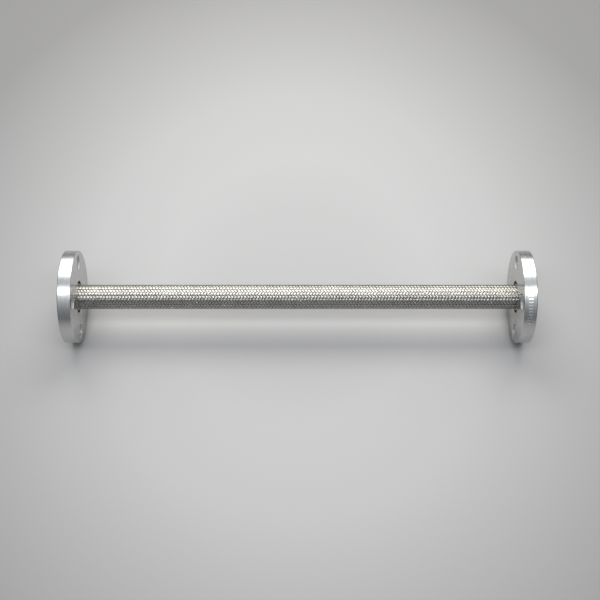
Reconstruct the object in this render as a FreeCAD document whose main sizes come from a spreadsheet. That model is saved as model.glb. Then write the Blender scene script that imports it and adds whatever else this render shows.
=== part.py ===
import FreeCAD, Part
import Sketcher
import os

# A braided metal bellows hose with a loose flange at each end.
# Millimetres. The hose lies along X, Z is up, and the origin is the middle of the hose axis.
# End A is at -X and end B is at +X. Each piece is drawn in its own frame and placed from the sheet.

SIZES = [
    ("overall_length", 504.0, "lap face to lap face"),
    ("flange_diameter", 100.0, "loose flange, outside"),
    ("flange_thickness", 14.0, "loose flange, along the hose"),
    ("flange_bore", 34.4, "loose flange, clear of the ferrule"),
    ("flange_chamfer", 0.8, "broken edges of the rim and the bore"),
    ("bolt_circle", 75.0, "diameter through the bolt hole centres"),
    ("bolt_hole", 15.0, "bolt hole diameter"),
    ("bolt_count", 4, "bolt holes in each flange"),
    ("hole_turn", 45.0, "first bolt hole, degrees from the top towards -Y"),
    ("lap_diameter", 56.0, "gasket face of the stub end"),
    ("lap_thickness", 2.0, "collar behind the gasket face"),
    ("lap_gap", 0.05, "running gap between the collar and the loose flange"),
    ("lap_fillet", 0.8, "corner between the collar and the neck"),
    ("flow_bore", 20.0, "inside of the neck"),
    ("neck_diameter", 25.0, "outside of the neck, inside of the braid"),
    ("neck_length", 26.5, "from the gasket face to the bellows"),
    ("neck_chamfer", 0.9, "lead-in on the neck's inner end"),
    ("wall", 0.3, "bellows sheet"),
    ("bellows_bore", 20.4, "inside of the bellows at its roots"),
    ("crest_diameter", 24.8, "outside of the convolutions"),
    ("root_flat", 0.75, "half of the gap between two convolutions"),
    ("wall_lean", 0.3, "how far a convolution's side leans"),
    ("crests", 8, "convolutions in a full length of bellows"),
    ("end_crests", 6, "convolutions in the first and the last length"),
    ("bend_spacing", 35.8, "from one bend hinge to the next"),
    ("bend_count", 12, "bend hinges"),
    ("bellows_gap", 1.5, "between two lengths of bellows"),
    ("braid_diameter", 26.3, "outside of the braid"),
    ("braid_gap", 1.9, "between two lengths of braid"),
    ("braid_stop", 6.0, "from the gasket face to the braid's end"),
    ("ferrule_diameter", 28.7, "ring that holds the braid's end"),
    ("ferrule_length", 9.5, "ring, along the hose"),
    ("ferrule_chamfer", 0.5, "broken edges of the ring"),
    ("weld_leg", 1.2, "height and width of a weld seam"),
    ("cap_weld_leg", 1.5, "height and width of the seam at the ferrule"),
    ("mark_length", 4.5, "rim mark, along the hose"),
    ("mark_depth", 0.3, "rim mark, into the rim"),
    ("mark_turn", 1.5, "rim mark, degrees around the rim"),
    ("mark_step", 3.8, "from one rim mark to the next, degrees"),
    ("mark_count", 10, "rim marks"),
    ("mark_middle", 39.0, "middle of the row of marks, degrees above the horizontal"),
]

SHEET = "<<sizes>>."
V_AXIS = -2
H_AXIS = -1

document = FreeCAD.newDocument("hose")
sheet = document.addObject("Spreadsheet::Sheet", "sizes")
sheet.Label = "sizes"
for row, (alias, value, meaning) in enumerate(SIZES, start=1):
    sheet.set(f"A{row}", meaning)
    sheet.set(f"B{row}", str(value))
    sheet.setAlias(f"B{row}", alias)
document.recompute()

size = {alias: getattr(sheet, alias) for alias, _, _ in SIZES}


def formula(text):
    """The sheet expression for text, in which every size is written by its own name."""
    words = text.split()
    return " ".join(SHEET + word if word in size else word for word in words)


def worth(text):
    """The value of text, worked out from the sheet."""
    return float(sheet.evalExpression(formula(text)))


def origin_feature(body, role):
    """One of the body's own origin planes or axes."""
    return next(item for item in body.Origin.OriginFeatures if item.Role == role)


def new_body(label):
    body = document.addObject("PartDesign::Body", label)
    body.Label = label
    return body


def new_sketch(body, name, plane):
    sketch = body.newObject("Sketcher::SketchObject", body.Name + "_" + name)
    sketch.AttachmentSupport = [(origin_feature(body, plane), "")]
    sketch.MapMode = "FlatFace"
    return sketch


def pin_point(sketch, line, end, along, up):
    """Holds one point of the sketch at the sheet values of along and up."""
    if along == "0":
        sketch.addConstraint(Sketcher.Constraint("PointOnObject", line, end, V_AXIS))
    else:
        pin_distance(sketch, "DistanceX", line, end, along)
    if up == "0":
        sketch.addConstraint(Sketcher.Constraint("PointOnObject", line, end, H_AXIS))
    else:
        pin_distance(sketch, "DistanceY", line, end, up)


def pin_distance(sketch, kind, line, end, text):
    index = sketch.addConstraint(Sketcher.Constraint(kind, H_AXIS, 1, line, end, worth(text)))
    sketch.setExpression(f"Constraints[{index}]", formula(text))


def draw_outline(sketch, corners):
    """Draws a closed outline through the corners, each one pinned to the sheet."""
    points = [FreeCAD.Vector(worth(along), worth(up), 0) for along, up in corners]
    count = len(points)
    for line in range(count):
        sketch.addGeometry(Part.LineSegment(points[line], points[(line + 1) % count]), False)
    for line in range(count):
        following = (line + 1) % count
        sketch.addConstraint(Sketcher.Constraint("Coincident", line, 2, following, 1))
    for line, (along, up) in enumerate(corners):
        pin_point(sketch, line, 1, along, up)


def draw_circle(sketch, index, across, up, diameter):
    """Draws circle number index of the sketch, its centre pinned to the sheet."""
    centre = FreeCAD.Vector(worth(across), worth(up), 0)
    sketch.addGeometry(Part.Circle(centre, FreeCAD.Vector(0, 0, 1), worth(diameter) / 2), False)
    pin_point(sketch, index, 3, across, up)
    constraint = Sketcher.Constraint("Diameter", index, worth(diameter))
    position = sketch.addConstraint(constraint)
    sketch.setExpression(f"Constraints[{position}]", formula(diameter))


def turn_outline(body, name, corners):
    """Turns an outline, drawn as (distance along the hose, radius), once around the hose axis."""
    sketch = new_sketch(body, name, "XZ_Plane")
    draw_outline(sketch, corners)
    turned = body.newObject("PartDesign::Revolution", body.Name + "_turned")
    turned.Profile = sketch
    turned.ReferenceAxis = (origin_feature(body, "X_Axis"), [""])
    turned.Angle = 360
    document.recompute()
    return turned


def circle_edges(feature, radii):
    """Names of the feature's full circles that have one of the radii."""
    names = []
    for number, edge in enumerate(feature.Shape.Edges, start=1):
        curve = edge.Curve
        if curve.TypeId != "Part::GeomCircle" or not edge.isClosed():
            continue
        if any(abs(curve.Radius - radius) < 0.001 for radius in radii):
            names.append(f"Edge{number}")
    return names


def break_edges(body, feature, radii, leg):
    """Chamfers the feature's circles of the given radii by the sheet value leg."""
    chamfer = body.newObject("PartDesign::Chamfer", body.Name + "_chamfer")
    chamfer.Base = (feature, circle_edges(feature, radii))
    chamfer.Size = worth(leg)
    chamfer.setExpression("Size", formula(leg))
    document.recompute()
    return chamfer


def place(body, along, turn=None):
    """Puts the body's origin at the sheet value along, turned about the hose axis by turn degrees."""
    axis = FreeCAD.Vector(1, 0, 0)
    angle = worth(turn) if turn else 0
    middle = FreeCAD.Vector(worth(along), 0, 0)
    body.Placement = FreeCAD.Placement(middle, FreeCAD.Rotation(axis, angle))
    body.setExpression(".Placement.Base.x", formula(along))
    if turn:
        body.setExpression(".Placement.Rotation.Angle", formula(turn))


def place_facing(body, along, end):
    """Puts the body at the sheet value along from the middle, its +X pointing out of the end."""
    if end == "a":
        upright = FreeCAD.Vector(0, 0, 1)
        middle = FreeCAD.Vector(-worth(along), 0, 0)
        body.Placement = FreeCAD.Placement(middle, FreeCAD.Rotation(upright, 180))
        body.setExpression(".Placement.Base.x", formula("-1 * ( " + along + " )"))
    else:
        place(body, along)


def loose_flange(label, along, marked):
    """A plate ring with a bore and a circle of bolt holes, drawn from its -X face."""
    body = new_body(label)
    ring = new_sketch(body, "ring", "YZ_Plane")
    draw_circle(ring, 0, "0", "0", "flange_diameter")
    draw_circle(ring, 1, "0", "0", "flange_bore")
    pad = body.newObject("PartDesign::Pad", label + "_plate")
    pad.Profile = ring
    pad.Length = size["flange_thickness"]
    pad.setExpression("Length", formula("flange_thickness"))
    document.recompute()
    radii = [size["flange_diameter"] / 2, size["flange_bore"] / 2]
    chamfer = break_edges(body, pad, radii, "flange_chamfer")

    drilling = new_sketch(body, "bolt_hole", "YZ_Plane")
    draw_circle(drilling, 0, "0", "bolt_circle / 2", "bolt_hole")
    hole = body.newObject("PartDesign::Pocket", label + "_bolt_hole_cut")
    hole.Profile = drilling
    hole.Type = "ThroughAll"
    hole.Reversed = True
    document.recompute()
    if hole.Shape.Volume >= chamfer.Shape.Volume:
        raise RuntimeError(label + ": the bolt hole cuts nothing")
    repeat_around(body, hole, "bolt_count", "360", label + "_bolt_holes")
    if marked:
        rim_marks(body)
    place(body, along, "hole_turn")
    return body


def repeat_around(body, feature, count, angle, name):
    """Repeats the feature around the hose axis, and makes the result the body's tip."""
    pattern = body.newObject("PartDesign::PolarPattern", name)
    pattern.Originals = [feature]
    pattern.Axis = (origin_feature(body, "X_Axis"), [""])
    pattern.Angle = worth(angle)
    pattern.setExpression("Angle", formula(angle))
    pattern.Occurrences = int(worth(count))
    pattern.setExpression("Occurrences", formula(count))
    body.Tip = pattern
    document.recompute()
    return pattern


def rim_marks(body):
    """A row of short plain marks cut into the rim, on the side towards -Y."""
    before = body.Shape.Volume
    stamp = new_sketch(body, "mark", "XZ_Plane")
    start = "( flange_thickness - mark_length ) / 2"
    finish = "( flange_thickness + mark_length ) / 2"
    floor = "flange_diameter / 2 - mark_depth"
    above = "flange_diameter / 2 + mark_depth"
    draw_outline(stamp, [(start, floor), (finish, floor), (finish, above), (start, above)])
    row = "( mark_count - 1 ) * mark_step"
    first = "90 - mark_middle - hole_turn - " + row + " / 2"
    along = FreeCAD.Vector(1, 0, 0)
    stamp.AttachmentOffset = FreeCAD.Placement(FreeCAD.Vector(), FreeCAD.Rotation(along, worth(first)))
    stamp.setExpression(".AttachmentOffset.Rotation.Angle", formula(first))
    groove = body.newObject("PartDesign::Groove", body.Name + "_mark_cut")
    groove.Profile = stamp
    groove.ReferenceAxis = (origin_feature(body, "X_Axis"), [""])
    groove.Angle = worth("mark_turn")
    groove.setExpression("Angle", formula("mark_turn"))
    document.recompute()
    if groove.Shape.Volume >= before:
        raise RuntimeError(body.Name + ": the mark cuts nothing")
    repeat_around(body, groove, "mark_count", row, body.Name + "_marks")


def turned_piece(label, corners):
    """A ring or a tube, its outline given as (distance along the hose, radius)."""
    body = new_body(label)
    turn_outline(body, "outline", corners)
    return body


def tube_outline(length, inside, outside):
    """Corners of a plain tube's wall; inside and outside are diameters."""
    inner = inside + " / 2"
    outer = outside + " / 2"
    return [("0", inner), (length, inner), (length, outer), ("0", outer)]


def stub_end(label, end):
    """The neck with the collar that carries the gasket face, drawn from the neck's inner end."""
    neck = "neck_diameter / 2"
    bore = "flow_bore / 2"
    lap = "lap_diameter / 2"
    back = "neck_length - lap_thickness"
    corners = [
        ("0", bore),
        ("0", neck + " - neck_chamfer"),
        ("neck_chamfer", neck),
        (back, neck),
        (back, lap),
        ("neck_length", lap),
        ("neck_length", bore),
    ]
    body = turned_piece(label, corners)
    turned = body.Tip
    circles = circle_edges(turned, [worth(neck)])
    corner = max(circles, key=lambda name: turned.Shape.getElement(name).Curve.Center.x)
    fillet = body.newObject("PartDesign::Fillet", label + "_corner")
    fillet.Base = (turned, [corner])
    fillet.Radius = size["lap_fillet"]
    fillet.setExpression("Radius", formula("lap_fillet"))
    document.recompute()
    place_facing(body, "overall_length / 2 - neck_length", end)
    return body


def ferrule(label, end):
    body = turned_piece(label, tube_outline("ferrule_length", "braid_diameter", "ferrule_diameter"))
    break_edges(body, body.Tip, [size["ferrule_diameter"] / 2], "ferrule_chamfer")
    place_facing(body, "overall_length / 2 - braid_stop - ferrule_length", end)
    return body


def cap_weld(label, end):
    """The seam between the neck and the end of the braid, inside the loose flange."""
    neck = "neck_diameter / 2"
    corners = [("0", neck), ("cap_weld_leg", neck), ("0", neck + " + cap_weld_leg")]
    body = turned_piece(label, corners)
    place_facing(body, "overall_length / 2 - braid_stop", end)
    return body


def bellows_weld(label, end):
    """The seam between the bellows' plain cuff and the neck's inner end."""
    cuff = "bellows_bore / 2 + wall"
    corners = [("0", cuff), ("weld_leg", cuff), ("weld_leg", cuff + " + weld_leg")]
    body = turned_piece(label, corners)
    place_facing(body, "overall_length / 2 - neck_length - weld_leg", end)
    return body


CREST_PITCH = "( ( bend_spacing - bellows_gap ) / crests )"
LAST_BEND = "( ( bend_count - 1 ) / 2 * bend_spacing )"


def convolution_outline():
    """Both sides of the bellows sheet over one convolution, out over the crest and back inside."""
    root = "bellows_bore / 2"
    crest = "crest_diameter / 2"
    rise = "root_flat"
    top = "root_flat + wall_lean"
    return [
        ("0", root + " + wall"),
        (rise, root + " + wall"),
        (top, crest),
        (CREST_PITCH + " - ( " + top + " )", crest),
        (CREST_PITCH + " - root_flat", root + " + wall"),
        (CREST_PITCH, root + " + wall"),
        (CREST_PITCH, root),
        (CREST_PITCH + " - root_flat - wall", root),
        (CREST_PITCH + " - ( " + top + " ) - wall", crest + " - wall"),
        (top + " + wall", crest + " - wall"),
        (rise + " + wall", root),
        ("0", root),
    ]


def bellows_length(label, crests):
    """A row of convolutions, drawn from the end nearest the middle of the hose."""
    body = turned_piece(label, convolution_outline())
    pattern = body.newObject("PartDesign::LinearPattern", label + "_convolutions")
    pattern.Originals = [body.Tip]
    pattern.Direction = (origin_feature(body, "X_Axis"), [""])
    span = "( " + crests + " - 1 ) * " + CREST_PITCH
    pattern.Length = worth(span)
    pattern.setExpression("Length", formula(span))
    pattern.Occurrences = int(worth(crests))
    pattern.setExpression("Occurrences", formula(crests))
    body.Tip = pattern
    document.recompute()
    return body


def end_bellows(label, end):
    """The last convolutions and the plain cuff that is welded to the neck."""
    body = bellows_length(label, "end_crests")
    start = "end_crests * " + CREST_PITCH
    finish = "overall_length / 2 - neck_length - " + LAST_BEND + " - bellows_gap / 2"
    bore = "bellows_bore / 2"
    corners = [(start, bore), (finish, bore), (finish, bore + " + wall"), (start, bore + " + wall")]
    turn_outline(body, "cuff", corners)
    place_facing(body, LAST_BEND + " + bellows_gap / 2", end)
    return body


def middle_bellows(label, number):
    body = bellows_length(label, "crests")
    place(body, hinge_before(number) + " + bellows_gap / 2")
    return body


def hinge_before(number):
    """Where the bend hinge on the -X side of a length lies; length 1 is the first of all."""
    return f"( {number} - 1.5 - bend_count / 2 ) * bend_spacing"


def end_braid(label, end):
    length = "overall_length / 2 - braid_stop - " + LAST_BEND + " - braid_gap / 2"
    body = turned_piece(label, tube_outline(length, "neck_diameter", "braid_diameter"))
    place_facing(body, LAST_BEND + " + braid_gap / 2", end)
    return body


def middle_braid(label, number):
    body = turned_piece(label, tube_outline("bend_spacing - braid_gap", "neck_diameter", "braid_diameter"))
    place(body, hinge_before(number) + " + braid_gap / 2")
    return body


def end_pieces(end):
    """Everything at one end of the hose except its bellows and its braid."""
    return [
        stub_end("stub_end_" + end, end),
        ferrule("ferrule_" + end, end),
        cap_weld("cap_weld_" + end, end),
        bellows_weld("bellows_weld_" + end, end),
    ]


def hose_lengths():
    """The bellows and the braid, each in one more length than there are bend hinges."""
    last = int(size["bend_count"]) + 1
    pieces = [end_bellows("bellows_01", "a"), end_braid("braid_01", "a")]
    for number in range(2, last):
        pieces.append(middle_bellows(f"bellows_{number:02d}", number))
        pieces.append(middle_braid(f"braid_{number:02d}", number))
    pieces.append(end_bellows(f"bellows_{last:02d}", "b"))
    pieces.append(end_braid(f"braid_{last:02d}", "b"))
    return pieces


def build():
    inner_face = "overall_length / 2 - lap_thickness - lap_gap - flange_thickness"
    outer_face = "-1 * ( overall_length / 2 - lap_thickness - lap_gap )"
    pieces = [
        loose_flange("loose_flange_a", outer_face, marked=False),
        loose_flange("loose_flange_b", inner_face, marked=True),
    ]
    for end in "ab":
        pieces += end_pieces(end)
    pieces += hose_lengths()
    document.recompute()
    return pieces


def export(pieces):
    """Writes one STEP file for each piece, after checking every object and every shape."""
    for item in document.Objects:
        if "Invalid" in item.State or "Error" in item.State:
            raise RuntimeError(item.Label + " didn't build")
    os.makedirs("parts", exist_ok=True)
    for piece in pieces:
        if piece.Shape.isNull() or not piece.Shape.isValid():
            raise RuntimeError(piece.Label + " has no valid shape")
        if len(piece.Shape.Solids) != 1:
            raise RuntimeError(piece.Label + " isn't one solid")
        piece.Shape.exportStep(f"parts/{piece.Label}.step")


export(build())
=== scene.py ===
import math

import bmesh
import bpy
import numpy as np
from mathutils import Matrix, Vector


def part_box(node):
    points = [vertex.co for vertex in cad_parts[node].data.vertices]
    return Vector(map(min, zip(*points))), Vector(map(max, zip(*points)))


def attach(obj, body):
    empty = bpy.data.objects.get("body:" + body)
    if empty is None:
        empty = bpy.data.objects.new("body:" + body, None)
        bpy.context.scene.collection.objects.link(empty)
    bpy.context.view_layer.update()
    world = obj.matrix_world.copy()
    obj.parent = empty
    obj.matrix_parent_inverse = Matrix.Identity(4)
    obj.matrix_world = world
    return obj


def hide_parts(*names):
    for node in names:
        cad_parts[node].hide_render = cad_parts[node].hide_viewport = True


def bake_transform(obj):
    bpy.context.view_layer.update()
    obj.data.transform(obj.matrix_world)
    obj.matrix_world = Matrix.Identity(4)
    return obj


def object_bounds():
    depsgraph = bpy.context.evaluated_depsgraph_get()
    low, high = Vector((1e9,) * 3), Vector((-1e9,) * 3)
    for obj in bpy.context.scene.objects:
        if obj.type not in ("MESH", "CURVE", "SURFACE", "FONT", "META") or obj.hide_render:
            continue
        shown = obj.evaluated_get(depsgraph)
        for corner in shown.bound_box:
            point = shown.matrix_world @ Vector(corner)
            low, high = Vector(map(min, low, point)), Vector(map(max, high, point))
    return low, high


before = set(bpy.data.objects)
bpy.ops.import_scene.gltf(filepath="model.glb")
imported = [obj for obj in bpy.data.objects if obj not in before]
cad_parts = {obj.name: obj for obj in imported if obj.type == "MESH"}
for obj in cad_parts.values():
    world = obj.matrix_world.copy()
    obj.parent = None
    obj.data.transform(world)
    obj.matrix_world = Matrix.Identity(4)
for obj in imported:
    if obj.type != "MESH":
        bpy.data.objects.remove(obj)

MM = 0.001
CAD_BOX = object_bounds()

# Where things lie along the hose, in metres from its middle. End A is on the -X side.
BEND_SPACING = 35.8 * MM
BEND_COUNT = 12
LAST_BEND = (BEND_COUNT - 1) / 2 * BEND_SPACING
FLANGE_CENTRE = {end: sum(corner[0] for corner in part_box("loose_flange_" + end)) / 2 for end in "ab"}
BRAID_END = max(corner[0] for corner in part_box("braid_13"))
NECK_END = min(corner[0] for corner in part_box("stub_end_b"))
GASKET_FACE = max(corner[0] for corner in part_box("stub_end_b"))
SIGN = {"a": -1, "b": 1}

# Loose flange. The holes' turn is in degrees from the top.
FLANGE_RADIUS = 50.0 * MM
FLANGE_THICKNESS = 14.0 * MM
FLANGE_BORE = 17.2 * MM
FLANGE_EDGE = 0.8 * MM
HOLE_RADIUS = 7.5 * MM
HOLE_EDGE = 0.5 * MM
HOLE_CIRCLE = 37.5 * MM
HOLE_COUNT = 4
HOLE_TURN = 45.0

# Rim marks. Their angles are in degrees around the rim, and the row's middle is measured up from the front.
MARK_COUNT = 10
MARK_STEP = 3.8
MARK_TURN = 1.5
MARK_MIDDLE = 39.0
MARK_LENGTH = 4.5 * MM
MARK_DEPTH = 0.3 * MM
MARK_SHALLOW = 0.12 * MM

# Stub end: the neck and the collar.
BORE_RADIUS = 10.0 * MM
NECK_RADIUS = 12.5 * MM
NECK_CHAMFER = 0.9 * MM
LAP_RADIUS = 28.0 * MM
LAP_THICKNESS = 2.0 * MM
STUB_EDGE = 0.35 * MM

# Ferrule: its grooves lie at these shares of its length, and are wider at the top than at the floor.
FERRULE_RADIUS = 14.35 * MM
FERRULE_LENGTH = 9.5 * MM
FERRULE_EDGE = 0.4 * MM
GROOVE_PLACES = (0.32, 0.68)
GROOVE_DEPTH = 0.25 * MM
GROOVE_HALF_TOP = 0.9 * MM
GROOVE_HALF_FLOOR = 0.4 * MM

# Weld seams. The section is in shares of the seam's leg: along, and up from its root.
CAP_WELD_LEG = 1.5 * MM
BELLOWS_WELD_LEG = 1.2 * MM
BELLOWS_CUFF = BORE_RADIUS + 0.3 * MM
WELD_SECTION = ((0.0, 0.0), (0.0, 1.0), (0.35, 0.8), (0.65, 0.5), (0.88, 0.2), (1.0, 0.0))
WELD_RIPPLES = 40
WELD_RIPPLE_DEPTH = 0.12

# Braid: strands of parallel wires, wound both ways, each over two and under two.
# The lay is the length in which a strand goes once around. The turn is the whole weave's, in degrees.
BRAID_RADIUS = 13.15 * MM
BRAID_LAY = 82.6 * MM
BRAID_TURN = 6.25
STRANDS = 24
STRAND_STEP = 360.0 / STRANDS
WIRES = 6
WIRE_RADIUS = 0.165 * MM
WIRE_MIDDLE = BRAID_RADIUS - 2 * WIRE_RADIUS
FLOAT_CROWN = 0.10 * MM
CROWN_POWER = 0.6
# The share of the lift that a strand's outer wires carry into their colour: painted shade along a strand's
# edges.
EDGE_WIRE_PAINTED_SHADE = 0.5
TONE_SEED = 20

# The outer side of a wire's section, as four points in shares of its radius.
WIRE_SIDEWAYS = np.array([-0.96, -0.34, 0.34, 0.96])
WIRE_OUTWARDS = np.array([0.72, 0.97, 0.97, 0.72])

# A strand's cycle, counted in crossings: two over and two under. It changes sides at 1.5 and at 3.5,
# over CHANGE either way. A wire gets a point at each of CYCLE_POINTS that isn't too near its end.
CYCLE = 4
CHANGE = 0.2
CYCLE_POINTS = np.array([0.5, 1.3, 1.5, 1.7, 2.5, 3.3, 3.5, 3.7])
POINT_GAP = 0.02

# Bellows sheet, drawn as its middle surface.
BELLOWS_PITCH = BEND_SPACING / 8
BELLOWS_ROOT = 10.15 * MM
BELLOWS_CREST = 12.25 * MM
BELLOWS_END = LAST_BEND + 6 * BELLOWS_PITCH

# Rounded edges. An arc takes up at most CORNER_LIMIT of the shorter side of its corner. The points that
# keep the flat runs shaded flat lie CORNER_HOLD of the arc's reach outside it, or on a flange's walls
# PLATE_HOLD times the edge's radius inside the face.
CORNER_LIMIT = 0.45
CORNER_HOLD = 0.1
PLATE_HOLD = 1.15

# How fine the meshes are: points around, and steps in an edge, a weld ripple or a convolution.
RIM_POINTS = 288
TURNED_POINTS = 192
BORE_POINTS = 144
HOLE_POINTS = 96
BELLOWS_POINTS = 72
EDGE_STEPS = 5
RIPPLE_STEPS = 8
CONVOLUTION_STEPS = 16

# Studio, in metres and degrees.
FLOOR_HALF = 3.0
FLOOR_GAP = 0.05 * MM
# How far the floor's painted contact shadow reaches.
PAINTED_SHADOW_REACH = 25 * MM
LAMP_DISTANCE = 1.7
CAMERA_DISTANCE = 1.19
CAMERA_RISE = 55.0
CAMERA_LENS_MM = 65.9
CAMERA_SENSOR_MM = 36.0
CAMERA_SHIFT = (0.0045, -0.0052)
WARM = (1.03, 1.0, 0.93)
WHITE = (1.0, 1.0, 1.0)

# Lamps: name, angle up from the front (past 90 is behind), height, width, radiance and colour.
LAMPS = (
    ("main_lamp", 122.0, 0.75, 1.9, 4.64, WARM),
    ("back_lamp", 149.0, 0.84, 1.9, 1.82, WARM),
    ("top_lamp", 69.2, 0.34, 1.9, 5.82, WHITE),
    ("front_lamp", 56.0, 0.30, 0.8, 2.73, WHITE),
)

# The room's tone, by the angle up from the front in degrees, and by the share of the way to the right.
ROOM_STRENGTH = 0.91
ROOM_TINT = Vector((0.96, 0.985, 1.06))
ROOM_BY_RISE = (
    (0, 0.21), (19, 0.30), (35, 0.50), (50, 0.76), (62, 0.95),
    (90, 0.74), (112, 1.15), (166, 0.62), (180, 0.50),
)
ROOM_BY_SIDE = (
    (0, 0.30), (0.15, 0.38), (0.3, 0.8), (0.42, 1),
    (0.58, 1), (0.72, 0.75), (0.88, 0.32), (1, 0.26),
)


# ---------------------------------------------------------------- mesh helpers

def new_object(name, mesh):
    piece = bpy.data.objects.new(name, mesh)
    bpy.context.scene.collection.objects.link(piece)
    return piece


def finished(bm, name):
    """Turns the bmesh into an object with its faces outwards, and frees it."""
    bmesh.ops.recalc_face_normals(bm, faces=bm.faces)
    mesh = bpy.data.meshes.new(name)
    bm.to_mesh(mesh)
    bm.free()
    return new_object(name, mesh)


def ring(bm, centre, along, radius, count):
    """A circle of vertices around an axis parallel to the hose; centre is its (y, z)."""
    turns = [2 * math.pi * step / count for step in range(count)]
    return [
        bm.verts.new((along, centre[0] + radius * math.sin(t), centre[1] + radius * math.cos(t)))
        for t in turns
    ]


def skin(bm, rings, closed=False):
    """Quads between each ring and the next; closed also joins the last ring to the first."""
    count = len(rings[0])
    pairs = list(zip(rings, rings[1:]))
    if closed:
        pairs.append((rings[-1], rings[0]))
    for low, high in pairs:
        for step in range(count):
            after = (step + 1) % count
            face = bm.faces.new((low[step], low[after], high[after], high[step]))
            face.smooth = True


def rounded(corners, radius):
    """A closed outline of (along, radius) points with each corner turned into a small arc."""
    outline = []
    count = len(corners)
    for index, corner in enumerate(corners):
        here = Vector(corner)
        back = Vector(corners[index - 1]) - here
        ahead = Vector(corners[(index + 1) % count]) - here
        reach = min(radius, CORNER_LIMIT * min(back.length, ahead.length))
        back.normalize()
        ahead.normalize()
        start = here + back * reach
        finish = here + ahead * reach
        outline.append(tuple(start + back * reach * CORNER_HOLD))
        for step in range(EDGE_STEPS + 1):
            share = step / EDGE_STEPS
            point = start * (1 - share) ** 2 + here * 2 * share * (1 - share) + finish * share ** 2
            outline.append(tuple(point))
        outline.append(tuple(finish + ahead * reach * CORNER_HOLD))
    return outline


def lathe(name, outline):
    """Turns a closed outline of (along, radius) points around the hose axis."""
    bm = bmesh.new()
    rings = [ring(bm, (0, 0), along, radius, TURNED_POINTS) for along, radius in outline]
    skin(bm, rings, closed=True)
    return finished(bm, name)


def facing(end, outline):
    """The outline for one end: distances are from the middle of the hose, outwards."""
    return [(SIGN[end] * along, radius) for along, radius in outline]


# ---------------------------------------------------------------- loose flanges

def hole_centre(number):
    """The (y, z) of one bolt hole."""
    turn = math.radians(HOLE_TURN + number * 360.0 / HOLE_COUNT)
    return (-HOLE_CIRCLE * math.sin(turn), HOLE_CIRCLE * math.cos(turn))


def wall_rings(bm, centre, middle, radius, edge, inward, count):
    """Rings down one round wall of the plate, with a rounded edge at each face; a hole's faces inward."""
    half = FLANGE_THICKNESS / 2
    side = 1 if inward else -1
    arc = [math.radians(90 * step / EDGE_STEPS) for step in range(EDGE_STEPS + 1)]
    far = [(half - edge * (1 - math.sin(a)), radius + side * edge * (1 - math.cos(a))) for a in arc]
    near = [(-along, r) for along, r in far[::-1]]
    inner = half - edge * PLATE_HOLD
    outline = near + [(-inner, radius), (inner, radius)] + far
    return [ring(bm, centre, middle + along, r, count) for along, r in outline]


def hole_wall(bm, drilled, number, middle):
    """The wall of one bolt hole, marked as drilled up to halfway round each of its edges."""
    rings = wall_rings(bm, hole_centre(number), middle, HOLE_RADIUS, HOLE_EDGE, True, HOLE_POINTS)
    for loop in rings[3:-3]:
        for vert in loop:
            vert[drilled] = 1.0
    return rings


def flat_face(bm, loops):
    """Fills one flat face of the plate between the loops that bound it."""
    edges = []
    for loop in loops:
        edges += [bm.edges.get((loop[i], loop[i - 1])) for i in range(len(loop))]
    filled = bmesh.ops.triangle_fill(bm, use_beauty=True, edges=edges)
    for item in filled["geom"]:
        if isinstance(item, bmesh.types.BMFace):
            item.smooth = False


def loose_flange(end):
    """The drilled plate, with rounded edges on its rim, its bore and its bolt holes."""
    bm = bmesh.new()
    drilled = bm.verts.layers.float.new("drilled")
    middle = FLANGE_CENTRE[end]
    walls = [
        wall_rings(bm, (0, 0), middle, FLANGE_RADIUS, FLANGE_EDGE, False, RIM_POINTS),
        wall_rings(bm, (0, 0), middle, FLANGE_BORE, FLANGE_EDGE, True, BORE_POINTS),
    ]
    walls += [hole_wall(bm, drilled, number, middle) for number in range(HOLE_COUNT)]
    for rings in walls:
        skin(bm, rings)
    for level in (0, -1):
        flat_face(bm, [rings[level] for rings in walls])
    return finished(bm, "flange_plate_" + end)


# The six sides of a block. Its eight corners run inside the rim before outside, -X before +X, and
# upper before lower.
BLOCK_SIDES = (
    (0, 1, 3, 2), (4, 6, 7, 5), (0, 4, 5, 1),
    (2, 3, 7, 6), (0, 2, 6, 4), (1, 5, 7, 3),
)


def wedge_point(angle, depth, along):
    """A point at an angle from the top, this deep under the rim; a negative depth is above it."""
    radius = FLANGE_RADIUS - depth
    return (along, -radius * math.sin(angle), radius * math.cos(angle))


def mark_cutter():
    """Ten small wedges, deep at their upper side, that stand where the marks are cut into flange B."""
    bm = bmesh.new()
    middle = FLANGE_CENTRE["b"]
    first = 90 - MARK_MIDDLE - (MARK_COUNT - 1) * MARK_STEP / 2
    half_turn = math.radians(MARK_TURN / 2)
    for number in range(MARK_COUNT):
        turn = math.radians(first + number * MARK_STEP)
        block = []
        for upper_depth, lower_depth in ((MARK_DEPTH, MARK_SHALLOW), (-MARK_DEPTH, -MARK_DEPTH)):
            for along in (middle - MARK_LENGTH / 2, middle + MARK_LENGTH / 2):
                block.append(bm.verts.new(wedge_point(turn - half_turn, upper_depth, along)))
                block.append(bm.verts.new(wedge_point(turn + half_turn, lower_depth, along)))
        for corners in BLOCK_SIDES:
            bm.faces.new([block[corner] for corner in corners])
    return finished(bm, "mark_cutter")


def cut_marks(plate):
    """Cuts the row of rim marks out of the plate, and removes the cutter."""
    cutter = mark_cutter()
    cut = plate.modifiers.new("marks", "BOOLEAN")
    cut.operation = "DIFFERENCE"
    cut.solver = "EXACT"
    cut.object = cutter
    bpy.context.view_layer.update()
    shown = plate.evaluated_get(bpy.context.evaluated_depsgraph_get())
    mesh = bpy.data.meshes.new_from_object(shown)
    mesh.set_sharp_from_angle(angle=math.radians(30))
    plate.modifiers.clear()
    plate.data = mesh
    bpy.data.objects.remove(cutter)


# ---------------------------------------------------------------- end pieces

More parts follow.
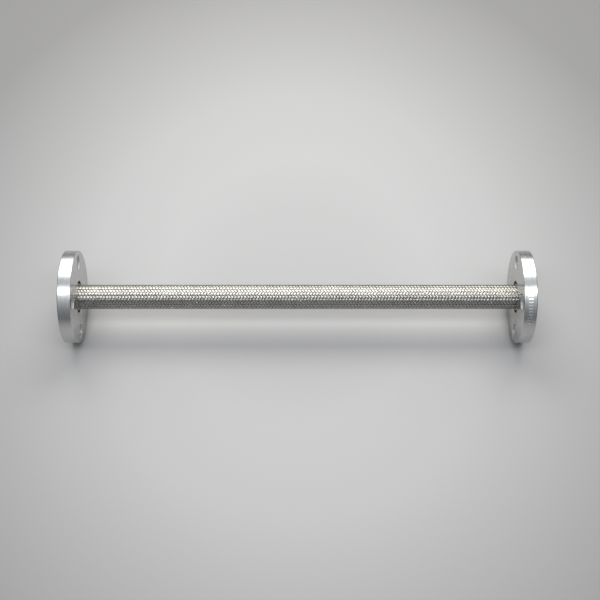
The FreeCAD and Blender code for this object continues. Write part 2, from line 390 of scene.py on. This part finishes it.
def stub_end(end):
    """The neck and the collar with the gasket face, bored through."""
    corners = [
        (NECK_END, BORE_RADIUS),
        (NECK_END, NECK_RADIUS - NECK_CHAMFER),
        (NECK_END + NECK_CHAMFER, NECK_RADIUS),
        (GASKET_FACE - LAP_THICKNESS, NECK_RADIUS),
        (GASKET_FACE - LAP_THICKNESS, LAP_RADIUS),
        (GASKET_FACE, LAP_RADIUS),
        (GASKET_FACE, BORE_RADIUS),
    ]
    return lathe("stub_neck_" + end, facing(end, rounded(corners, STUB_EDGE)))


def ferrule(end):
    """The crimped ring over the braid's end: two shallow grooves and rolled edges."""
    start = BRAID_END - FERRULE_LENGTH
    floor = FERRULE_RADIUS - GROOVE_DEPTH
    corners = [(start, BRAID_RADIUS), (start, FERRULE_RADIUS)]
    for share in GROOVE_PLACES:
        middle = start + share * FERRULE_LENGTH
        corners += [
            (middle - GROOVE_HALF_TOP, FERRULE_RADIUS),
            (middle - GROOVE_HALF_FLOOR, floor),
            (middle + GROOVE_HALF_FLOOR, floor),
            (middle + GROOVE_HALF_TOP, FERRULE_RADIUS),
        ]
    corners += [(BRAID_END, FERRULE_RADIUS), (BRAID_END, BRAID_RADIUS)]
    return lathe("ferrule_ring_" + end, facing(end, rounded(corners, FERRULE_EDGE)))


def weld_seam(name, end, start, inside, leg, rising):
    """A fillet seam with the scale-like ripples a weld has; rising puts its tall side outwards."""
    count = WELD_RIPPLES * RIPPLE_STEPS
    turns = [2 * math.pi * step / count for step in range(count)]
    bm = bmesh.new()
    rings = []
    for along, up in WELD_SECTION:
        place = SIGN[end] * (start + (1.0 - along if rising else along) * leg)
        loop = []
        for turn in turns:
            swell = 1 - WELD_RIPPLE_DEPTH * abs(math.sin(turn * WELD_RIPPLES / 2))
            radius = inside + up * leg * swell
            loop.append(bm.verts.new((place, radius * math.sin(turn), radius * math.cos(turn))))
        rings.append(loop)
    skin(bm, rings, closed=True)
    return finished(bm, name)


# ---------------------------------------------------------------- braid

def over_under(crossing):
    """+1 where a strand lies on top, -1 where it lies beneath, against its count of crossings."""
    phase = np.mod(crossing + 0.5, CYCLE)
    rise = np.clip(phase / CHANGE, 0, 1) + np.clip((CYCLE - phase) / CHANGE, 0, 1) - 1
    fall = np.clip((CYCLE / 2 - phase) / CHANGE, -1, 1)
    return np.where(phase < 1.0, rise, np.where(phase > 3.0, -rise, fall))


def crown(way, crossing):
    """0 to 1: how high a strand stands in the middle of each stretch it spends on top."""
    return np.maximum(0.0, way * np.sin(np.pi * (crossing + 0.5) / 2)) ** CROWN_POWER


def crossings_between(low, high):
    """The counts of crossings at which a wire gets a point, with one at each end of it."""
    first = math.floor(low / CYCLE) - 1
    last = math.ceil(high / CYCLE) + 1
    points = np.concatenate([CYCLE_POINTS + CYCLE * cycle for cycle in range(first, last)])
    inside = points[(points > low + POINT_GAP) & (points < high - POINT_GAP)]
    return np.concatenate([[low], inside, [high]])


def wire_points(way, strand, wire, start, finish):
    """Four points across the outer side of one wire at each place along it, and the wire's lift there.

    way is 1 or -1, for the two directions in which the strands are wound.
    """
    pitch_angle = math.atan(2 * math.pi * WIRE_MIDDLE / BRAID_LAY)
    width = (wire - (WIRES - 1) / 2) * 2 * WIRE_RADIUS
    offset = math.degrees(width / (WIRE_MIDDLE * math.cos(pitch_angle)))
    base = strand * STRAND_STEP + offset
    degrees_per_metre = way * 360.0 / BRAID_LAY

    ends = [(2 * (base + degrees_per_metre * x) - offset) / STRAND_STEP for x in (start, finish)]
    crossing = crossings_between(min(ends), max(ends))
    turn = (STRAND_STEP * crossing + offset) / 2
    along = (turn - base) / degrees_per_metre
    lift = crown(way, crossing)
    radius = WIRE_MIDDLE - FLOAT_CROWN + way * WIRE_RADIUS * over_under(crossing) + FLOAT_CROWN * lift

    sideways = WIRE_RADIUS * WIRE_SIDEWAYS
    x = along[:, None] - way * sideways * math.sin(pitch_angle)
    r = radius[:, None] + WIRE_RADIUS * WIRE_OUTWARDS
    t = np.radians(turn + BRAID_TURN)[:, None] + sideways * math.cos(pitch_angle) / r
    return np.stack([x, r * np.sin(t), r * np.cos(t)], axis=2), lift


def strip_faces(rows, first):
    """Quads over a strip of rows of four points, the first of which has the number first."""
    across = np.arange(3)
    corner = first + 4 * np.arange(rows - 1)[:, None] + across
    return np.stack([corner, corner + 4, corner + 5, corner + 1], axis=2).reshape(-1, 4)


def mesh_from_arrays(name, points, quads, values):
    """A smooth mesh from numpy arrays; values holds named attributes, one value for each point."""
    mesh = bpy.data.meshes.new(name)
    mesh.vertices.add(len(points))
    mesh.vertices.foreach_set("co", points.astype(np.float32).ravel())
    mesh.loops.add(quads.size)
    mesh.loops.foreach_set("vertex_index", quads.astype(np.int32).ravel())
    mesh.polygons.add(len(quads))
    mesh.polygons.foreach_set("loop_start", np.arange(0, quads.size, 4, dtype=np.int32))
    mesh.polygons.foreach_set("use_smooth", np.ones(len(quads), dtype=bool))
    for label, value in values.items():
        attribute = mesh.attributes.new(label, "FLOAT", "POINT")
        attribute.data.foreach_set("value", value.astype(np.float32))
    mesh.update(calc_edges=True)
    mesh.validate()
    return mesh


def braid_piece(name, start, finish):
    """All the wires of the braid between two places along the hose, each with a tone of its own."""
    points, quads, tone, height = [], [], [], []
    first = 0
    tones = np.random.default_rng(TONE_SEED).uniform(0, 1, (2, STRANDS, WIRES))
    for side, way in enumerate((1, -1)):
        for strand in range(STRANDS):
            for wire in range(WIRES):
                rows, lift = wire_points(way, strand, wire, start, finish)
                # The lift the colour reads, lowered on a strand's outer wires as painted shade.
                painted_lift = lift * (EDGE_WIRE_PAINTED_SHADE if wire in (0, WIRES - 1) else 1.0)
                points.append(rows.reshape(-1, 3))
                quads.append(strip_faces(len(rows), first)[:, ::way])
                tone.append(np.full(len(rows) * 4, tones[side, strand, wire]))
                height.append(np.repeat(painted_lift, 4))
                first += len(rows) * 4
    # The lift goes to the material, which paints shade from it where strands dive under.
    values = {"tone": np.concatenate(tone), "lift": np.concatenate(height)}
    mesh = mesh_from_arrays(name, np.concatenate(points), np.concatenate(quads), values)
    return new_object(name, mesh)


# ---------------------------------------------------------------- bellows

def bellows_outline(start, finish):
    """(along, radius) points of the sheet's middle surface, from start to finish."""
    low = max(start, -BELLOWS_END)
    high = min(finish, BELLOWS_END)
    steps = round((high - low) / BELLOWS_PITCH * CONVOLUTION_STEPS)
    outline = []
    if start < low:
        outline.append((start, BELLOWS_ROOT))
    for step in range(steps + 1):
        along = low + (high - low) * step / steps
        wave = -math.cos(2 * math.pi * along / BELLOWS_PITCH)
        wave = math.copysign(math.sqrt(abs(wave)), wave)
        radius = (BELLOWS_ROOT + BELLOWS_CREST) / 2 + wave * (BELLOWS_CREST - BELLOWS_ROOT) / 2
        outline.append((along, radius))
    if finish > high:
        outline.append((finish, BELLOWS_ROOT))
    return outline


def bellows_piece(name, start, finish):
    """The bellows sheet between two places along the hose."""
    bm = bmesh.new()
    outline = bellows_outline(start, finish)
    skin(bm, [ring(bm, (0, 0), along, radius, BELLOWS_POINTS) for along, radius in outline])
    return finished(bm, name)


# ---------------------------------------------------------------- materials

def node(tree, kind, **settings):
    """A new node of this kind, with its settings."""
    made = tree.nodes.new(kind)
    for name, value in settings.items():
        setattr(made, name, value)
    return made


def feed(tree, socket, value):
    """Links the socket to another node's output, or sets it to a plain value."""
    if isinstance(value, bpy.types.NodeSocket):
        tree.links.new(value, socket)
    else:
        socket.default_value = value


def number_math(tree, operation, *values):
    """The result of a Math node."""
    made = node(tree, "ShaderNodeMath", operation=operation)
    for socket, value in zip(made.inputs, values):
        feed(tree, socket, value)
    return made.outputs[0]


def vector_math(tree, operation, *values):
    """The result of a Vector Math node, which is a number for a length."""
    made = node(tree, "ShaderNodeVectorMath", operation=operation)
    for socket, value in zip(made.inputs, values):
        feed(tree, socket, value)
    return made.outputs["Value" if operation == "LENGTH" else "Vector"]


def split_vector(tree, vector):
    """The x, y and z of a vector."""
    made = node(tree, "ShaderNodeSeparateXYZ")
    feed(tree, made.inputs[0], vector)
    return made.outputs


def join_vector(tree, *values):
    """A vector from its x, y and z."""
    made = node(tree, "ShaderNodeCombineXYZ")
    for socket, value in zip(made.inputs, values):
        feed(tree, socket, value)
    return made.outputs[0]


def mesh_value(tree, name):
    """A named value that the mesh carries."""
    return node(tree, "ShaderNodeAttribute", attribute_name=name).outputs["Fac"]


def new_metal(name, roughness):
    """A metal, with a plain roughness for whatever can't read its nodes."""
    material = bpy.data.materials.new(name)
    material.use_nodes = True
    tree = material.node_tree
    shader = tree.nodes["Principled BSDF"]
    shader.inputs["Metallic"].default_value = 1.0
    shader.inputs["Roughness"].default_value = roughness
    return material, tree, shader


def turned_coordinates(tree, rings_per_metre, around):
    """A vector that changes fast with the radius and along the hose, and slowly around it."""
    x, y, z = split_vector(tree, object_place(tree))
    across = join_vector(tree, y, z, 0.0)
    slow = scaled(tree, vector_math(tree, "NORMALIZE", across), around)
    reach = number_math(tree, "ADD", vector_math(tree, "LENGTH", across), x)
    fast = number_math(tree, "MULTIPLY", reach, rings_per_metre)
    return vector_math(tree, "ADD", slow, join_vector(tree, 0.0, 0.0, fast))


def noise(tree, vector, scale, detail=4.0, roughness=0.55):
    """Smooth noise from about 0.2 to 0.8 over the vector."""
    made = node(tree, "ShaderNodeTexNoise")
    made.inputs["Scale"].default_value = scale
    made.inputs["Detail"].default_value = detail
    made.inputs["Roughness"].default_value = roughness
    feed(tree, made.inputs["Vector"], vector)
    return made.outputs[0]


def object_place(tree):
    """The place in the object's own frame, in metres."""
    return node(tree, "ShaderNodeTexCoord").outputs["Object"]


def ramp(tree, factor, stops):
    """A colour ramp; stops are (position, (r, g, b))."""
    made = node(tree, "ShaderNodeValToRGB")
    first, last = made.color_ramp.elements
    first.position, first.color = stops[0][0], (*stops[0][1], 1)
    last.position, last.color = stops[-1][0], (*stops[-1][1], 1)
    for position, colour in stops[1:-1]:
        made.color_ramp.elements.new(position).color = (*colour, 1)
    feed(tree, made.inputs[0], factor)
    return made.outputs[0]


def spread(tree, factor, low, high, from_low=0.0, from_high=1.0):
    """The factor's range, from_low to from_high, stretched over low to high and cut off there."""
    made = node(tree, "ShaderNodeMapRange")
    made.inputs["From Min"].default_value = from_low
    made.inputs["From Max"].default_value = from_high
    made.inputs["To Min"].default_value = low
    made.inputs["To Max"].default_value = high
    feed(tree, made.inputs["Value"], factor)
    return made.outputs[0]


def scaled(tree, vector, factor):
    """The vector or colour times one number."""
    made = node(tree, "ShaderNodeVectorMath", operation="SCALE")
    feed(tree, made.inputs[0], vector)
    feed(tree, made.inputs["Scale"], factor)
    return made.outputs[0]


def add_bump(tree, shader, height, strength, distance):
    """Bumps on the shader's surface, from a height and its size in metres."""
    bump = node(tree, "ShaderNodeBump")
    bump.inputs["Strength"].default_value = strength
    bump.inputs["Distance"].default_value = distance
    feed(tree, bump.inputs["Height"], height)
    feed(tree, shader.inputs["Normal"], bump.outputs[0])


def plated_steel():
    """Bright plate over a turned surface: faint rings and cloudy colour; duller inside drilled holes, with
    painted light in their colour.
    """
    material, tree, shader = new_metal("plated_steel", 0.2)
    shader.inputs["Specular Tint"].default_value = (0.88, 0.88, 0.88, 1)
    turning = noise(tree, turned_coordinates(tree, 900.0, 3.0), 1.0, 6.0, 0.7)
    clouds = noise(tree, object_place(tree), 38.0, 5.0, 0.6)
    colour = ramp(tree, clouds, [
        (0.30, (0.54, 0.55, 0.54)),
        (0.52, (0.59, 0.60, 0.588)),
        (0.75, (0.64, 0.645, 0.63)),
    ])
    drilled = mesh_value(tree, "drilled")
    ringed = scaled(tree, colour, spread(tree, turning, 0.95, 1.04, 0.3, 0.7))
    # Painted light: the drilled walls' colour is raised by 12% to lighten the holes' shade; they are also
    # rougher.
    feed(tree, shader.inputs["Base Color"], scaled(tree, ringed, spread(tree, drilled, 1.0, 1.12)))
    turned_roughness = spread(tree, turning, 0.14, 0.30, 0.3, 0.7)
    roughness = number_math(tree, "MULTIPLY_ADD", drilled, 0.3, turned_roughness)
    feed(tree, shader.inputs["Roughness"], roughness)
    add_bump(tree, shader, turning, 0.12, 0.02 * MM)
    return material


def turned_stainless():
    """Machined stainless steel with fine tool rings."""
    material, tree, shader = new_metal("turned_stainless", 0.3)
    turning = noise(tree, turned_coordinates(tree, 2400.0, 2.0), 1.0, 3.0, 0.6)
    clouds = noise(tree, object_place(tree), 60.0, 4.0, 0.6)
    colour = ramp(tree, clouds, [(0.3, (0.50, 0.49, 0.47)), (0.7, (0.62, 0.61, 0.58))])
    feed(tree, shader.inputs["Base Color"], colour)
    feed(tree, shader.inputs["Roughness"], spread(tree, turning, 0.24, 0.40, 0.3, 0.7))
    add_bump(tree, shader, turning, 0.35, 0.05 * MM)
    return material


def braid_wire():
    """Drawn stainless wire, each wire its own tone, with painted shade where strands dive under and lighter
    crowns.
    """
    material, tree, shader = new_metal("braid_wire", 0.3)
    own = mesh_value(tree, "tone")
    lift = mesh_value(tree, "lift")
    patches = noise(tree, object_place(tree), 120.0, 3.0, 0.6)
    # Painted shade: the lift becomes a colour that is darkest where strands dive under and lightest on the
    # crowns.
    painted_crown_light = ramp(tree, lift, [
        (0.0, (0.16, 0.157, 0.142)),
        (0.35, (0.32, 0.316, 0.288)),
        (0.70, (0.49, 0.484, 0.448)),
        (1.0, (0.62, 0.612, 0.568)),
    ])
    toned = scaled(tree, painted_crown_light, spread(tree, own, 0.86, 1.08))
    colour = scaled(tree, toned, spread(tree, patches, 0.90, 1.06, 0.35, 0.65))
    feed(tree, shader.inputs["Base Color"], colour)
    feed(tree, shader.inputs["Roughness"], spread(tree, patches, 0.16, 0.28, 0.3, 0.7))
    lines = noise(tree, object_place(tree), 2600.0, 2.0, 0.5)
    add_bump(tree, shader, lines, 0.1, 0.01 * MM)
    return material


def formed_sheet():
    """Thin formed stainless sheet, rolled smooth and slightly heat tinted."""
    material, tree, shader = new_metal("formed_sheet", 0.28)
    clouds = noise(tree, object_place(tree), 90.0, 4.0, 0.6)
    colour = ramp(tree, clouds, [(0.3, (0.40, 0.38, 0.34)), (0.7, (0.55, 0.54, 0.52))])
    feed(tree, shader.inputs["Base Color"], colour)
    feed(tree, shader.inputs["Roughness"], spread(tree, clouds, 0.22, 0.42, 0.3, 0.7))
    add_bump(tree, shader, noise(tree, object_place(tree), 900.0), 0.1, 0.03 * MM)
    return material


def weld_bead():
    """Weld metal: dull, straw and grey heat colours."""
    material, tree, shader = new_metal("weld_bead", 0.45)
    clouds = noise(tree, object_place(tree), 260.0, 5.0, 0.6)
    colour = ramp(tree, clouds, [
        (0.30, (0.22, 0.21, 0.20)),
        (0.55, (0.40, 0.36, 0.30)),
        (0.75, (0.52, 0.50, 0.46)),
    ])
    feed(tree, shader.inputs["Base Color"], colour)
    feed(tree, shader.inputs["Roughness"], spread(tree, clouds, 0.35, 0.6, 0.3, 0.7))
    add_bump(tree, shader, noise(tree, object_place(tree), 1400.0), 0.3, 0.08 * MM)
    return material


def floor_paper():
    """Pale matt studio floor, with a painted pool of light that darkens it away from the middle and a
    painted contact shadow where the rims come close to it.
    """
    material = bpy.data.materials.new("floor_paper")
    material.use_nodes = True
    tree = material.node_tree
    shader = tree.nodes["Principled BSDF"]
    shader.inputs["Roughness"].default_value = 0.9
    shader.inputs["Specular IOR Level"].default_value = 0.1
    # Painted pool of light: the floor's colour fades away from a middle 60 mm behind the hose, faster along
    # the hose.
    squeeze = (1.25, 1.0, 0.0)
    shift = (0.0, -60 * MM, 0.0)
    oval = vector_math(tree, "MULTIPLY_ADD", object_place(tree), squeeze, shift)
    colour = ramp(tree, vector_math(tree, "LENGTH", oval), [
        (0.0, (0.408, 0.408, 0.410)),
        (0.10, (0.412, 0.412, 0.414)),
        (0.19, (0.428, 0.428, 0.430)),
        (0.30, (0.400, 0.400, 0.402)),
        (0.41, (0.335, 0.335, 0.336)),
        (0.58, (0.240, 0.240, 0.240)),
        (1.0, (0.20, 0.20, 0.20)),
    ])
    # Painted contact shadow: the floor's colour darkens where the rims stand close over it.
    contact_occlusion = node(tree, "ShaderNodeAmbientOcclusion", samples=16)
    contact_occlusion.inputs["Distance"].default_value = PAINTED_SHADOW_REACH
    painted_contact_shadow = spread(tree, contact_occlusion.outputs["AO"], 0.20, 1.0, 0.25, 0.70)
    feed(tree, shader.inputs["Base Color"], scaled(tree, colour, painted_contact_shadow))
    grain = noise(tree, object_place(tree), 700.0, 3.0, 0.5)
    add_bump(tree, shader, grain, 0.05, 0.1 * MM)
    return material


# ---------------------------------------------------------------- the object


def section_middle(number):
    """The middle of length number; for the first and the last, half a spacing from their only bend."""
    return (number - 1 - BEND_COUNT / 2) * BEND_SPACING


def dress(piece, material):
    """Gives the piece its material."""
    piece.data.materials.clear()
    piece.data.materials.append(material)


def add_flanges(material):
    """Adds both loose flanges, and cuts the marks into flange B."""
    for end in "ab":
        plate = loose_flange(end)
        if end == "b":
            cut_marks(plate)
        dress(plate, material)
        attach(plate, "flange_" + end)
        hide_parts("loose_flange_" + end)


def add_end_pieces(stainless, weld):
    """Adds the stub end, the ferrule and the two weld seams at each end."""
    seam_start = NECK_END - BELLOWS_WELD_LEG
    for end in "ab":
        stub = stub_end(end)
        band = ferrule(end)
        cap = weld_seam("cap_seam_" + end, end, BRAID_END, NECK_RADIUS, CAP_WELD_LEG, False)
        seam = weld_seam("bellows_seam_" + end, end, seam_start, BELLOWS_CUFF, BELLOWS_WELD_LEG, True)
        made = [
            (stub, "stub_end_", stainless, "stainless"),
            (band, "ferrule_", stainless, "stainless"),
            (cap, "cap_weld_", weld, "weld"),
            (seam, "bellows_weld_", weld, "weld"),
        ]
        for piece, stands_for, material, slot in made:
            dress(piece, material)
            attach(piece, "end_" + end)
            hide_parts(stands_for + end)


def add_hose(make, kind, reach, material):
    """Adds the braid or the bellows: an end piece at each end, and one piece over each bend."""
    last = BEND_COUNT + 1
    piece = make(kind + "_end_a", -reach, section_middle(1))
    dress(piece, material)
    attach(piece, "end_a")
    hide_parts(f"{kind}_01")
    for number in range(1, last):
        start = section_middle(number)
        finish = section_middle(number + 1)
        piece = make(f"{kind}_bend_{number:02d}", start, finish)
        dress(piece, material)
        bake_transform(piece)
        if number + 1 < last:
            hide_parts(f"{kind}_{number + 1:02d}")
    piece = make(kind + "_end_b", section_middle(last), reach)
    dress(piece, material)
    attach(piece, "end_b")
    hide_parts(f"{kind}_{last:02d}")


# ---------------------------------------------------------------- studio

def add_floor():
    """A square of floor just under the lowest point of the object."""
    level = CAD_BOX[0][2] - FLOOR_GAP
    corners = [(FLOOR_HALF * x, FLOOR_HALF * y, level) for x, y in ((-1, -1), (1, -1), (1, 1), (-1, 1))]
    mesh = bpy.data.meshes.new("floor")
    mesh.from_pydata(corners, [], [(0, 1, 2, 3)])
    floor = new_object("floor", mesh)
    floor.data.materials.append(floor_paper())


def add_lamp(name, rise, height, width, radiance, colour):
    """A soft rectangular lamp that faces the middle of the object."""
    angle = math.radians(rise)
    light = bpy.data.lights.new(name, "AREA")
    light.shape = "RECTANGLE"
    light.size = width
    light.size_y = height
    light.energy = radiance * math.pi * width * height
    light.color = colour
    lamp = bpy.data.objects.new(name, light)
    lamp.location = (0, -LAMP_DISTANCE * math.cos(angle), LAMP_DISTANCE * math.sin(angle))
    lamp.rotation_euler = (-Vector(lamp.location)).to_track_quat("-Z", "Y").to_euler()
    bpy.context.scene.collection.objects.link(lamp)


def room_colour(tree):
    """The room's colour each way you look: by the angle up and over to the back, and by the side."""
    x, y, z = split_vector(tree, node(tree, "ShaderNodeTexCoord").outputs["Generated"])
    rise = number_math(tree, "ARCTAN2", z, number_math(tree, "MULTIPLY", y, -1.0))
    over = spread(tree, rise, 0.0, 1.0, 0.0, math.pi)
    overhead = ramp(tree, over, [(angle / 180, ROOM_TINT * tone) for angle, tone in ROOM_BY_RISE])
    across = spread(tree, x, 0.0, 1.0, -1.0, 1.0)
    sides = ramp(tree, across, [(share, (tone, tone, tone)) for share, tone in ROOM_BY_SIDE])
    return vector_math(tree, "MULTIPLY", overhead, sides)


def add_room():
    """The dim room around the lamps."""
    world = bpy.data.worlds.new("room")
    world.use_nodes = True
    bpy.context.scene.world = world
    background = world.node_tree.nodes["Background"]
    background.inputs["Strength"].default_value = ROOM_STRENGTH
    feed(world.node_tree, background.inputs["Color"], room_colour(world.node_tree))


def add_camera():
    """The camera looks down at the hose from in front, square to its middle."""
    rise = math.radians(CAMERA_RISE)
    lens = bpy.data.cameras.new("camera")
    lens.lens = CAMERA_LENS_MM
    lens.sensor_width = CAMERA_SENSOR_MM
    lens.shift_x, lens.shift_y = CAMERA_SHIFT
    camera = bpy.data.objects.new("camera", lens)
    camera.location = (0, -CAMERA_DISTANCE * math.cos(rise), CAMERA_DISTANCE * math.sin(rise))
    camera.rotation_euler = (math.radians(90) - rise, 0, 0)
    bpy.context.scene.collection.objects.link(camera)
    bpy.context.scene.camera = camera


def add_studio():
    """The floor, the room, the lamps and the camera."""
    add_floor()
    add_room()
    for lamp in LAMPS:
        add_lamp(*lamp)
    add_camera()


bpy.context.scene.view_settings.view_transform = "Standard"
add_flanges(plated_steel())
add_end_pieces(turned_stainless(), weld_bead())
add_hose(braid_piece, "braid", BRAID_END, braid_wire())
add_hose(bellows_piece, "bellows", NECK_END, formed_sheet())
add_studio()
